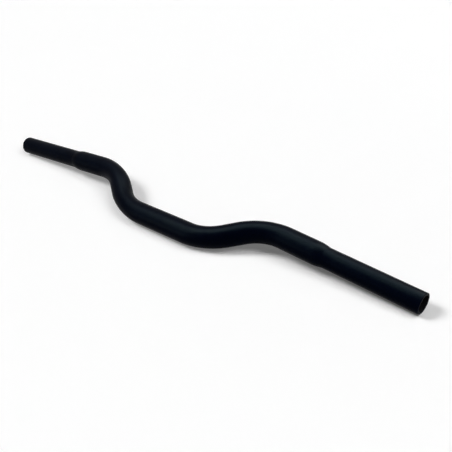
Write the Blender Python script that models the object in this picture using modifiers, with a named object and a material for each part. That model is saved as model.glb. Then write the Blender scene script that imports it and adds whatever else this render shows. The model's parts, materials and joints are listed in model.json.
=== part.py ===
# Low-rise bicycle handlebar, bent from one tube and open at both ends.
# Units are metres. The bar lies on the floor at z = 0, left and right along X.
import math

import bmesh
import bpy
from mathutils import Matrix, Vector

# Sizes of the bar, as the tube is bent and cut, from the middle outwards
OVERALL_WIDTH = 0.610          # over the rims of the two ends, 24 inch
CLAMP_STRAIGHT = 0.074         # straight middle part, where a stem clamps it
RISER_ANGLE = math.radians(37.5)
BEND_RADIUS = 0.0762           # three body diameters, to the middle of the tube
RISER_STRAIGHT = 0.0156        # between the lower bend and the upper one
GRIP_BACKSWEEP = math.radians(3.2)
GRIP_DROOP = math.radians(2.1)
OUTER_STRAIGHT = 0.038         # between the upper bend and the swage
SWAGE_LENGTH = 0.013           # step from the body down to the grip part

# Tube sections
BODY_DIAMETER = 0.0254
GRIP_DIAMETER = 0.0222
BODY_WALL = 0.0021
GRIP_WALL = 0.0024
BEND_FLATTENING = 0.06         # how much thinner the tube is in the plane of a bend
BEND_SPREAD = 0.012            # how much wider it is across that plane
RIM_ROUNDING = 0.0005

# Fineness of the mesh
SIDES = 40
BEND_STEPS = 7
SWAGE_STEPS = 6
RIM_STEPS = 2


def heading(rise_angle, sweep_angle=0.0):
    """Direction of a straight part of the right half."""
    level = math.cos(rise_angle)
    return Vector((
        level * math.cos(sweep_angle),
        level * math.sin(sweep_angle),
        math.sin(rise_angle),
    ))


# Directions of the three straight parts, from the middle outwards
clamp_way = Vector((1, 0, 0))
riser_way = heading(RISER_ANGLE)
grip_way = heading(-GRIP_DROOP, GRIP_BACKSWEEP)
lower_turn = clamp_way.angle(riser_way)
upper_turn = riser_way.angle(grip_way)
lower_tangent = BEND_RADIUS * math.tan(lower_turn / 2)
upper_tangent = BEND_RADIUS * math.tan(upper_turn / 2)

# What is left up to the overall width is the straight end that takes a grip
riser_length = lower_tangent + RISER_STRAIGHT + upper_tangent
upper_corner = CLAMP_STRAIGHT / 2 + lower_tangent + riser_length * riser_way.x
rim_reach = GRIP_DIAMETER / 2 * math.sin(clamp_way.angle(grip_way))
outer_length = (OVERALL_WIDTH / 2 - rim_reach - upper_corner) / grip_way.x
grip_length = outer_length - upper_tangent - OUTER_STRAIGHT - SWAGE_LENGTH


class Tube:
    """Half of the tube as an open skin, drawn one ring of edges at a time."""

    def __init__(self, radius):
        self.mesh = bmesh.new()
        self.layer = self.mesh.verts.layers.deform.verify()
        self.point = Vector((0, 0, 0))
        self.turn = Vector((0, 0, 1)).rotation_difference(clamp_way).to_matrix().to_4x4()
        self.section = self.matrix(radius)
        made = bmesh.ops.create_circle(
            self.mesh, segments=SIDES, radius=1, cap_ends=False, matrix=self.section
        )
        self.ring = list({edge for vert in made["verts"] for edge in vert.link_edges})
        self.set_wall(made["verts"], BODY_WALL)

    def matrix(self, radius, inward=None, amount=0.0):
        """Place and size of a ring, thinner along inward by the given share of the full flattening."""
        shape = Matrix.Identity(4)
        if inward is not None:
            across = inward.cross(self.way())
            shape = Matrix.Scale(1 - BEND_FLATTENING * amount, 4, inward)
            shape = shape @ Matrix.Scale(1 + BEND_SPREAD * amount, 4, across)
        return Matrix.Translation(self.point) @ shape @ self.turn @ Matrix.Scale(radius, 4)

    def way(self):
        return self.turn.to_3x3() @ Vector((0, 0, 1))

    def set_wall(self, verts, wall):
        for vert in verts:
            vert[self.layer][0] = wall / GRIP_WALL

    def add_ring(self, section, wall):
        made = bmesh.ops.extrude_edge_only(self.mesh, edges=self.ring)["geom"]
        verts = [item for item in made if isinstance(item, bmesh.types.BMVert)]
        bmesh.ops.transform(
            self.mesh, matrix=section @ self.section.inverted(), verts=verts
        )
        fresh = set(verts)
        self.ring = [
            item for item in made
            if isinstance(item, bmesh.types.BMEdge) and fresh.issuperset(item.verts)
        ]
        self.section = section
        self.set_wall(verts, wall)

    def straight(self, length, radius, wall):
        self.point = self.point + self.way() * length
        self.add_ring(self.matrix(radius), wall)

    def bend(self, new_way, angle, radius):
        """Turns to a new direction round an arc, the section flattest halfway round."""
        axis = self.way().cross(new_way).normalized()
        centre = self.point + axis.cross(self.way()) * BEND_RADIUS
        for step in range(1, BEND_STEPS + 1):
            part = Matrix.Rotation(angle / BEND_STEPS, 4, axis)
            self.turn = part @ self.turn
            self.point = centre + part.to_3x3() @ (self.point - centre)
            inward = (centre - self.point).normalized()
            amount = math.sin(math.pi * step / BEND_STEPS)
            self.add_ring(self.matrix(radius, inward, amount), BODY_WALL)

    def swage(self):
        """Eases away from the body and meets the grip part in a shallow corner."""
        body = BODY_DIAMETER / 2
        grip = GRIP_DIAMETER / 2
        for step in range(1, SWAGE_STEPS + 1):
            done = step / SWAGE_STEPS
            radius = grip + (body - grip) * math.cos(math.pi / 2 * done)
            wall = BODY_WALL + (GRIP_WALL - BODY_WALL) * done
            self.straight(SWAGE_LENGTH / SWAGE_STEPS, radius, wall)


def draw_half():
    """The right half, from the middle of the clamp part to the open end."""
    tube = Tube(BODY_DIAMETER / 2)
    tube.straight(CLAMP_STRAIGHT / 2, BODY_DIAMETER / 2, BODY_WALL)
    tube.bend(riser_way, lower_turn, BODY_DIAMETER / 2)
    tube.straight(RISER_STRAIGHT, BODY_DIAMETER / 2, BODY_WALL)
    tube.bend(grip_way, upper_turn, BODY_DIAMETER / 2)
    tube.straight(OUTER_STRAIGHT, BODY_DIAMETER / 2, BODY_WALL)
    tube.swage()
    tube.straight(grip_length, GRIP_DIAMETER / 2, GRIP_WALL)
    bmesh.ops.recalc_face_normals(tube.mesh, faces=tube.mesh.faces[:])
    middle = max(tube.mesh.faces, key=lambda face: face.calc_center_median().z)
    if middle.normal.z < 0:
        bmesh.ops.reverse_faces(tube.mesh, faces=tube.mesh.faces[:])
    return tube


def resting_angle(tube):
    """Turn about X that brings the clamp part and both open ends to the floor."""
    end = Vector((tube.point.y, tube.point.z))
    lift = (BODY_DIAMETER - GRIP_DIAMETER) / 2
    lean = math.acos(lift / end.length) - math.atan2(end.y, end.x)
    return lean - math.pi / 2


def black_coat():
    coat = bpy.data.materials.new("satin_black")
    coat.use_nodes = True
    shader = coat.node_tree.nodes["Principled BSDF"]
    shader.inputs["Base Color"].default_value = (0.008, 0.009, 0.010, 1)
    shader.inputs["Roughness"].default_value = 0.45
    shader.inputs["Metallic"].default_value = 0.0
    return coat


def build_handlebar(collection):
    tube = draw_half()
    mesh = bpy.data.meshes.new("handlebar")
    tube.mesh.to_mesh(mesh)
    tube.mesh.free()
    bar = bpy.data.objects.new("handlebar", mesh)
    collection.objects.link(bar)
    bar.vertex_groups.new(name="wall")
    mesh.materials.append(black_coat())

    mirror = bar.modifiers.new("left half", "MIRROR")
    mirror.use_axis = (True, False, False)
    mirror.merge_threshold = 0.0001

    wall = bar.modifiers.new("tube wall", "SOLIDIFY")
    wall.thickness = GRIP_WALL
    wall.offset = -1
    wall.use_even_offset = True
    wall.use_rim = True
    wall.vertex_group = "wall"

    rims = bar.modifiers.new("rim rounding", "BEVEL")
    rims.limit_method = "ANGLE"
    rims.angle_limit = math.radians(60)
    rims.width = RIM_ROUNDING
    rims.segments = RIM_STEPS

    bar.rotation_euler = (resting_angle(tube), 0, 0)
    bpy.context.view_layer.update()
    shape = bar.evaluated_get(bpy.context.evaluated_depsgraph_get())
    corners = [shape.matrix_world @ vert.co for vert in shape.data.vertices]
    depths = [corner.y for corner in corners]
    lowest = min(corner.z for corner in corners)
    bar.location = (0, -(min(depths) + max(depths)) / 2, -lowest)

    bpy.context.view_layer.objects.active = bar
    bar.select_set(True)
    bpy.ops.object.shade_smooth()
    mesh.set_sharp_from_angle(angle=math.radians(30))
    return bar


for thing in list(bpy.data.objects):
    bpy.data.objects.remove(thing, do_unlink=True)

bicycle_handlebar = bpy.data.collections.new("Bicycle handlebar")
bpy.context.scene.collection.children.link(bicycle_handlebar)
build_handlebar(bicycle_handlebar)
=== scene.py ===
import json
import math

import bmesh
import bpy
from mathutils import Matrix, Vector


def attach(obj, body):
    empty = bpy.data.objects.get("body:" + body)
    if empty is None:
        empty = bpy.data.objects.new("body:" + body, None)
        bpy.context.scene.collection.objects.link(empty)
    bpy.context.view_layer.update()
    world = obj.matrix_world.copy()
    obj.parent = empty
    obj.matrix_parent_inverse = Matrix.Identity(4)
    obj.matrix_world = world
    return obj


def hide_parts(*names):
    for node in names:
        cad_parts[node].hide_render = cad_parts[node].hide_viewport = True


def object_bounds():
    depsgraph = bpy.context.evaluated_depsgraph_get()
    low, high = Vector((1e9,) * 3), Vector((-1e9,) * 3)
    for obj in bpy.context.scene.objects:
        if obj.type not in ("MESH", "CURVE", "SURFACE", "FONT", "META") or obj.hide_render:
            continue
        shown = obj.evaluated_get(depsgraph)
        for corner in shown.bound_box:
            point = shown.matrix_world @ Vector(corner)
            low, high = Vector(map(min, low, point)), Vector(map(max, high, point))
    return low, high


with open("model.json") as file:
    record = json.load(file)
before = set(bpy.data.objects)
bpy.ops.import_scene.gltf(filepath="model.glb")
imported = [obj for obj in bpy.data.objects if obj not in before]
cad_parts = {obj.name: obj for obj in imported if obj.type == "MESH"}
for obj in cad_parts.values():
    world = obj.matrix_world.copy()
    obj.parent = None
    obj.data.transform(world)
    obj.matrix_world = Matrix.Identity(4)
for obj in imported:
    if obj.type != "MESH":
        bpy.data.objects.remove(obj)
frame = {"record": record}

cadLow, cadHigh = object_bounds()
mounts = {mount["name"]: mount for mount in frame["record"]["mounts"]}
print("frame loaded, CAD box", tuple(cadHigh - cadLow))


# Shader maths: a wired socket that takes part in Python expressions
class Wire:
    def __init__(self, finish, socket):
        self.finish = finish
        self.socket = socket

    def maths(self, operation, first, second):
        node = self.finish.add("ShaderNodeMath", {"operation": operation}, {0: first, 1: second})
        return Wire(self.finish, node.outputs[0])

    def __add__(self, other):
        return self.maths("ADD", self, other)

    def __radd__(self, other):
        return self.maths("ADD", other, self)

    def __sub__(self, other):
        return self.maths("SUBTRACT", self, other)

    def __rsub__(self, other):
        return self.maths("SUBTRACT", other, self)

    def __mul__(self, other):
        return self.maths("MULTIPLY", self, other)

    def __rmul__(self, other):
        return self.maths("MULTIPLY", other, self)

    def __truediv__(self, other):
        return self.maths("DIVIDE", self, other)

    def atLeast(self, other):
        return self.maths("MAXIMUM", self, other)


# One node tree, filled a node at a time
class Finish:
    def __init__(self, tree):
        self.tree = tree
        tree.nodes.clear()

    def add(self, kind, settings=None, sockets=None):
        node = self.tree.nodes.new(kind)
        for name, value in (settings or {}).items():
            setattr(node, name, value)
        for name, value in (sockets or {}).items():
            if isinstance(value, Wire):
                self.tree.links.new(value.socket, node.inputs[name])
            else:
                node.inputs[name].default_value = value
        return node

    def wire(self, kind, output, settings=None, sockets=None):
        return Wire(self, self.add(kind, settings, sockets).outputs[output])


def newMaterial(name):
    material = bpy.data.materials.new(name)
    material.use_nodes = True
    return material, Finish(material.node_tree)


# Noise over the surface, from 0 to 1, in the object's own coordinates
def noise(nodes, grain):
    place = nodes.wire("ShaderNodeTexCoord", "Object")
    return nodes.wire("ShaderNodeTexNoise", "Fac", None, {"Vector": place, **grain})


# One shade that passes into another as the mask goes from 0 to 1
def blend(nodes, mask, shade, otherShade):
    return nodes.wire("ShaderNodeMix", 2, {"data_type": "RGBA"}, {
        0: mask, 6: (*shade, 1), 7: (*otherShade, 1),
    })


noiseMiddle = 0.5


# The coat: satin black, with the faint orange peel and clouding of sprayed powder
coat = {
    "shade": (0.0, 0.0001, 0.0022),
    "paleShade": (0.0001, 0.0006, 0.0042),
    "glossShade": (0.60, 1.0, 0.88),
    "clouds": {"Scale": 60.0, "Detail": 3.0, "Roughness": 0.55},
    "flecks": {"Scale": 1400.0, "Detail": 1.0, "Roughness": 0.5},
    "peel": {"Scale": 620.0, "Detail": 2.0, "Roughness": 0.5},
    "cloudShare": 0.6,         # of the change from one shade to the other
    "fleckShare": 0.4,
    "roughness": 0.33,
    "cloudRoughness": 0.22,    # how far the clouds and flecks spread the roughness
    "fleckRoughness": 0.12,
    "specular": 0.0095,
    "peelDepth": 0.00012,
    "peelStrength": 0.6,
}


def makeCoat(coat):
    material, nodes = newMaterial("satinBlackCoat")
    cloud = noise(nodes, coat["clouds"])
    fleck = noise(nodes, coat["flecks"])
    mask = cloud * coat["cloudShare"] + fleck * coat["fleckShare"]
    rough = coat["roughness"] + (cloud - noiseMiddle) * coat["cloudRoughness"]
    rough = rough + (fleck - noiseMiddle) * coat["fleckRoughness"]
    bump = nodes.wire("ShaderNodeBump", "Normal", None, {
        "Height": noise(nodes, coat["peel"]),
        "Strength": coat["peelStrength"],
        "Distance": coat["peelDepth"],
    })
    shader = nodes.wire("ShaderNodeBsdfPrincipled", "BSDF", None, {
        "Base Color": blend(nodes, mask, coat["shade"], coat["paleShade"]),
        "Roughness": rough,
        "Normal": bump,
        "Specular IOR Level": coat["specular"],
        "Specular Tint": (*coat["glossShade"], 1),
    })
    nodes.add("ShaderNodeOutputMaterial", None, {"Surface": shader})
    return material


# The bore: the same black, dusty and dull
bore = {
    "shade": (0.0030, 0.0032, 0.0036),
    "dustShade": (0.0060, 0.0062, 0.0070),
    "dust": {"Scale": 240.0, "Detail": 4.0, "Roughness": 0.6},
    "roughness": 0.75,
    "dustRoughness": 0.15,
    "dustDepth": 0.00004,
    "dustStrength": 0.3,
    "specular": 0.05,
}


def makeBore(bore):
    material, nodes = newMaterial("dullBlackBore")
    dust = noise(nodes, bore["dust"])
    bump = nodes.wire("ShaderNodeBump", "Normal", None, {
        "Height": dust, "Strength": bore["dustStrength"], "Distance": bore["dustDepth"],
    })
    shader = nodes.wire("ShaderNodeBsdfPrincipled", "BSDF", None, {
        "Base Color": blend(nodes, dust * dust, bore["shade"], bore["dustShade"]),
        "Roughness": bore["roughness"] + (dust - noiseMiddle) * bore["dustRoughness"],
        "Normal": bump,
        "Specular IOR Level": bore["specular"],
    })
    nodes.add("ShaderNodeOutputMaterial", None, {"Surface": shader})
    return material


# The tube, in metres and degrees, as it is before it lies down
tube = {
    "bodyDiameter": 0.0254,
    "gripDiameter": 0.0222,
    "bodyWall": 0.0021,
    "gripWall": 0.0024,
    "clampStraight": 0.074,
    "riserStraight": 0.0156,   # between the lower bend and the upper one
    "outerStraight": 0.038,    # between the upper bend and the swage
    "riserAngle": 37.5,
    "bendRadius": 0.0762,
    "backsweep": 3.2,
    "droop": 2.1,
    "swageLength": 0.013,
    "flattening": 0.06,        # of the section, halfway round a bend
    "spread": 0.012,           # across the flattening, in the same place
    "rimRounding": 0.0005,
    "sides": 112,
    "straightRings": 4,
    "bendRings": 26,
    "swageRings": 14,
    "gripRings": 8,
    "rimRings": 6,
    "meetReach": 0.00001,      # how near the middle the halves are joined
    "mergeReach": 0.000001,
}


# A direction on the right half, from its rise and its sweep in degrees
def wayOf(rise, sweep=0.0):
    level = math.cos(math.radians(rise))
    return Vector((
        level * math.cos(math.radians(sweep)),
        level * math.sin(math.radians(sweep)),
        math.sin(math.radians(rise)),
    ))


# The middle line of the right half, as a list of places for rings
class MiddleLine:
    def __init__(self, tube, width):
        self.tube = tube
        self.width = width
        self.point = Vector((0, 0, 0))
        self.turn = Matrix.Rotation(math.pi / 2, 4, "Y")
        self.stops = []
        self.mark(tube["bodyDiameter"] / 2, tube["bodyWall"])

    def way(self):
        return self.turn.to_3x3() @ Vector((0, 0, 1))

    def mark(self, radius, wall, inward=None, amount=0.0):
        shape = Matrix.Identity(4)
        if inward is not None:
            across = inward.cross(self.way())
            shape = Matrix.Scale(1 - self.tube["flattening"] * amount, 4, inward)
            shape = shape @ Matrix.Scale(1 + self.tube["spread"] * amount, 4, across)
        self.stops.append({
            "place": Matrix.Translation(self.point) @ shape @ self.turn,
            "outer": radius,
            "inner": radius - wall,
        })

    def straight(self, length, radius, wall, rings):
        for step in range(rings):
            self.point = self.point + self.way() * (length / rings)
            self.mark(radius, wall)

    def bend(self, newWay):
        tube = self.tube
        angle = self.way().angle(newWay)
        axis = self.way().cross(newWay).normalized()
        centre = self.point + axis.cross(self.way()) * tube["bendRadius"]
        part = Matrix.Rotation(angle / tube["bendRings"], 4, axis)
        for step in range(1, tube["bendRings"] + 1):
            self.turn = part @ self.turn
            self.point = centre + part.to_3x3() @ (self.point - centre)
            inward = (centre - self.point).normalized()
            amount = math.sin(math.pi * step / tube["bendRings"])
            self.mark(tube["bodyDiameter"] / 2, tube["bodyWall"], inward, amount)

    def swage(self):
        tube = self.tube
        body = tube["bodyDiameter"] / 2
        grip = tube["gripDiameter"] / 2
        for step in range(1, tube["swageRings"] + 1):
            done = step / tube["swageRings"]
            radius = grip + (body - grip) * math.cos(math.pi / 2 * done)
            wall = tube["bodyWall"] + (tube["gripWall"] - tube["bodyWall"]) * done
            self.straight(tube["swageLength"] / tube["swageRings"], radius, wall, 1)

    def draw(self):
        tube = self.tube
        riserWay = wayOf(tube["riserAngle"])
        gripWay = wayOf(-tube["droop"], tube["backsweep"])
        clampWay = Vector((1, 0, 0))
        lowerTangent = tube["bendRadius"] * math.tan(clampWay.angle(riserWay) / 2)
        upperTangent = tube["bendRadius"] * math.tan(riserWay.angle(gripWay) / 2)
        riserLength = lowerTangent + tube["riserStraight"] + upperTangent
        gripCorner = tube["clampStraight"] / 2 + lowerTangent + riserLength * riserWay.x
        rimReach = tube["gripDiameter"] / 2 * math.sin(clampWay.angle(gripWay))
        outerLength = (self.width / 2 - rimReach - gripCorner) / gripWay.x
        gripLength = outerLength - upperTangent - tube["outerStraight"] - tube["swageLength"]
        body = tube["bodyDiameter"] / 2
        rings = tube["straightRings"]
        self.straight(tube["clampStraight"] / 2, body, tube["bodyWall"], rings)
        self.bend(riserWay)
        self.straight(tube["riserStraight"], body, tube["bodyWall"], rings)
        self.bend(gripWay)
        self.straight(tube["outerStraight"], body, tube["bodyWall"], rings)
        self.swage()
        self.straight(gripLength, tube["gripDiameter"] / 2, tube["gripWall"], tube["gripRings"])
        return self


# Pulls a ring of edges to its next place and returns the new ring
def pullRing(bm, ring, matrix, slot):
    made = bmesh.ops.extrude_edge_only(bm, edges=ring["edges"])["geom"]
    verts = [item for item in made if isinstance(item, bmesh.types.BMVert)]
    bmesh.ops.transform(bm, matrix=matrix @ ring["matrix"].inverted(), verts=verts)
    fresh = set(verts)
    for item in made:
        if isinstance(item, bmesh.types.BMFace):
            item.material_index = slot
            item.smooth = True
    edges = [
        item for item in made
        if isinstance(item, bmesh.types.BMEdge) and fresh.issuperset(item.verts)
    ]
    return {"edges": edges, "matrix": matrix}


# The rounded rim as radii and depths, from the outer skin round to the bore
def rimProfile(tube, end):
    rounding = tube["rimRounding"]
    profile = {"outer": [], "inner": []}
    for step in range(tube["rimRings"] + 1):
        turn = math.pi / 2 * step / tube["rimRings"]
        across = rounding * (1 - math.cos(turn))
        along = rounding * (1 - math.sin(turn))
        profile["outer"].append((end["outer"] - across, along))
        profile["inner"].append((end["inner"] + along, across))
    return profile["outer"] + profile["inner"]


# Outer skin out to the end, over the rounded rim, and back in along the bore
def drawHalf(tube, line):
    bm = bmesh.new()
    coatSlot, boreSlot = 0, 1
    first = line.stops[0]
    end = line.stops[-1]
    matrix = first["place"] @ Matrix.Scale(first["outer"], 4)
    made = bmesh.ops.create_circle(
        bm, segments=tube["sides"], radius=1, cap_ends=False, matrix=matrix
    )
    edges = list({edge for vert in made["verts"] for edge in vert.link_edges})
    ring = {"edges": edges, "matrix": matrix}
    for stop in line.stops[1:-1]:
        ring = pullRing(bm, ring, stop["place"] @ Matrix.Scale(stop["outer"], 4), coatSlot)
    for radius, depth in rimProfile(tube, end):
        place = end["place"] @ Matrix.Translation((0, 0, -depth))
        ring = pullRing(bm, ring, place @ Matrix.Scale(radius, 4), coatSlot)
    for stop in reversed(line.stops[:-1]):
        ring = pullRing(bm, ring, stop["place"] @ Matrix.Scale(stop["inner"], 4), boreSlot)
    return bm


# How far the bar is turned about X where it lies, read from the right end face
def lieAngle(tube):
    drawn = wayOf(-tube["droop"], tube["backsweep"])
    laid = Vector(mounts["right_end_face"]["axis"])
    return math.atan2(laid.z, laid.y) - math.atan2(drawn.z, drawn.y)


def makeHandlebar(tube):
    line = MiddleLine(tube, cadHigh.x - cadLow.x).draw()
    bm = drawHalf(tube, line)
    half = bm.verts[:] + bm.edges[:] + bm.faces[:]
    bmesh.ops.mirror(bm, geom=half, axis="X", merge_dist=tube["meetReach"])
    bmesh.ops.remove_doubles(bm, verts=bm.verts, dist=tube["mergeReach"])
    bmesh.ops.recalc_face_normals(bm, faces=bm.faces)
    bmesh.ops.rotate(bm, verts=bm.verts, matrix=Matrix.Rotation(lieAngle(tube), 3, "X"))
    bmesh.ops.translate(bm, verts=bm.verts, vec=Vector(mounts["stem_clamp"]["pos_m"]))
    mesh = bpy.data.meshes.new("handlebarTube")
    bm.to_mesh(mesh)
    bm.free()
    mesh.materials.append(makeCoat(coat))
    mesh.materials.append(makeBore(bore))
    piece = bpy.data.objects.new("handlebarTube", mesh)
    bpy.context.scene.collection.objects.link(piece)
    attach(piece, "root")
    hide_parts("handlebar")
    print("handlebar", len(mesh.polygons), "faces")


makeHandlebar(tube)


# Light: a near lamp and a far one that shade the floor, and four boards that only show as gloss
light = {
    "room": 0.08,
    "rightLamp": {
        "fromSide": 98.9,      # degrees round from the front, towards +X
        "height": 55.0,        # degrees above the floor
        "distance": 1.3,
        "width": 0.94,
        "power": 9.5,
    },
    "leftLight": {
        "fromSide": -64.0,
        "height": 50.0,
        "width": 22.0,         # degrees across
        "strength": 1.85,
    },
    "boardDistance": 4.0,
    "highBoard": {
        "fromSide": -74.7,
        "height": 66.8,
        "roll": 0.0,
        "size": (1.7, 1.7),
        "power": 165.0,
    },
    "leftBoard": {
        "fromSide": -78.0,
        "height": 54.3,
        "roll": -18.3,
        "size": (4.90, 0.84),
        "power": 285.0,
    },
    "backBoard": {
        "fromSide": -176.8,
        "height": 51.5,
        "roll": -34.4,
        "size": (2.43, 5.0),
        "power": 800.0,
    },
    "frontBoard": {
        "fromSide": -37.3,
        "height": 15.5,
        "roll": 7.7,
        "size": (1.41, 2.22),
        "power": 64.0,
    },
}


# From the object to a place round it and above it
def towards(placing):
    side = math.radians(placing["fromSide"])
    rise = math.radians(placing["height"])
    return Vector((
        math.cos(rise) * math.sin(side),
        -math.cos(rise) * math.cos(side),
        math.sin(rise),
    ))


# Hangs a lamp at its distance so that it faces the object
def hang(name, data, placing, distance, roll=0.0):
    lamp = bpy.data.objects.new(name, data)
    facing = towards(placing).to_track_quat("Z", "Y").to_matrix().to_4x4()
    turn = Matrix.Rotation(math.radians(roll), 4, "Z")
    lamp.matrix_world = Matrix.Translation(towards(placing) * distance) @ facing @ turn
    bpy.context.scene.collection.objects.link(lamp)
    return lamp


def makeFarLight(name, lamp):
    data = bpy.data.lights.new(name, "SUN")
    data.angle = math.radians(lamp["width"])
    data.energy = lamp["strength"]
    sun = hang(name, data, lamp, 0.0)
    sun.visible_glossy = False


def makeNearLamp(name, lamp):
    data = bpy.data.lights.new(name, "AREA")
    data.shape = "DISK"
    data.size = lamp["width"]
    data.energy = lamp["power"]
    disc = hang(name, data, lamp, lamp["distance"])
    disc.visible_glossy = False
    disc.visible_camera = False


def makeBoard(name, board, distance):
    data = bpy.data.lights.new(name, "AREA")
    data.shape = "RECTANGLE"
    data.size, data.size_y = board["size"]
    data.energy = board["power"]
    panel = hang(name, data, board, distance, board["roll"])
    panel.visible_diffuse = False


# 1 on rays that show the background: straight to the eye, mirrored or through glass
def backdropRays(nodes):
    path = nodes.add("ShaderNodeLightPath")
    camera, glossy, through = (
        Wire(nodes, path.outputs[f"Is {kind} Ray"])
        for kind in ("Camera", "Glossy", "Transmission")
    )
    return camera + glossy + through


def makeLight(light):
    makeNearLamp("rightLamp", light["rightLamp"])
    makeFarLight("leftLight", light["leftLight"])
    for name in ("highBoard", "leftBoard", "backBoard", "frontBoard"):
        makeBoard(name, light[name], light["boardDistance"])

    world = bpy.data.worlds.new("whiteRoom")
    bpy.context.scene.world = world
    world.use_nodes = True
    nodes = Finish(world.node_tree)
    level = light["room"] + backdropRays(nodes) * (1 - light["room"])
    room = nodes.wire("ShaderNodeBackground", "Background", None, {
        "Color": (1, 1, 1, 1), "Strength": level,
    })
    nodes.add("ShaderNodeOutputWorld", None, {"Surface": room})
    print("lights set")


makeLight(light)


# Floor: pale and plain, white to the eye where nothing shades it
floor = {
    "size": 8.0,
    "paleness": 0.86,
    "white": 0.985,
}


# What the room and the far light give a white floor, everywhere alike
def evenLevel(light):
    sun = light["leftLight"]
    return light["room"] + sun["strength"] / math.pi * math.sin(math.radians(sun["height"]))


# What a near round lamp gives a white floor at x and y, if nothing stands between
def lampLevel(lamp, x, y):
    place = towards(lamp) * lamp["distance"]
    fromLamp = (x - place.x) * (x - place.x) + (y - place.y) * (y - place.y) + place.z ** 2
    facing = (place.length_squared - x * place.x - y * place.y).atLeast(0.0)
    strength = lamp["power"] / math.pi ** 2 * place.z / lamp["distance"]
    return facing * strength / (fromLamp * (fromLamp + (lamp["width"] / 2) ** 2))


# The floor glows by what the lamps leave it short of white, so that its white is even
def makeFloorFinish(floor):
    material, nodes = newMaterial("paleFloor")
    place = nodes.wire("ShaderNodeTexCoord", "Object")
    parts = nodes.add("ShaderNodeSeparateXYZ", None, {"Vector": place})
    x, y = (Wire(nodes, parts.outputs[axis]) for axis in ("X", "Y"))
    given = evenLevel(light) + lampLevel(light["rightLamp"], x, y)
    lack = (floor["white"] - given * floor["paleness"]).atLeast(0.0)
    paint = nodes.wire("ShaderNodeBsdfDiffuse", "BSDF", None, {
        "Color": (floor["paleness"], floor["paleness"], floor["paleness"], 1),
    })
    glow = nodes.wire("ShaderNodeEmission", "Emission", None, {
        "Color": lack, "Strength": backdropRays(nodes),
    })
    surface = nodes.wire("ShaderNodeAddShader", 0, None, {0: paint, 1: glow})
    nodes.add("ShaderNodeOutputMaterial", None, {"Surface": surface})
    return material


def makeFloor(floor):
    bm = bmesh.new()
    bmesh.ops.create_grid(bm, x_segments=1, y_segments=1, size=floor["size"] / 2)
    mesh = bpy.data.meshes.new("floor")
    bm.to_mesh(mesh)
    bm.free()
    mesh.materials.append(makeFloorFinish(floor))
    plane = bpy.data.objects.new("floor", mesh)
    bpy.context.scene.collection.objects.link(plane)
    print("floor laid")


makeFloor(floor)


# Camera: above and in front of the right end, rolled a little to the left
view = {
    "place": (0.5151, -0.4320, 0.4706),
    "heading": 45.20,          # degrees left of +Y
    "lookDown": 35.97,
    "roll": -8.56,
    "lens": 55.85,
    "film": 36.0,
    "nearLimit": 0.01,
}


def makeCamera(view):
    turn = Matrix.Rotation(math.radians(view["heading"]), 4, "Z")
    turn = turn @ Matrix.Rotation(math.radians(90 - view["lookDown"]), 4, "X")
    turn = turn @ Matrix.Rotation(math.radians(view["roll"]), 4, "Z")
    lens = bpy.data.cameras.new("camera")
    lens.sensor_width = view["film"]
    lens.lens = view["lens"]
    lens.clip_start = view["nearLimit"]
    camera = bpy.data.objects.new("camera", lens)
    camera.matrix_world = Matrix.Translation(view["place"]) @ turn
    bpy.context.scene.collection.objects.link(camera)
    bpy.context.scene.camera = camera
    print("camera set")


makeCamera(view)

bpy.context.scene.view_settings.view_transform = "Standard"
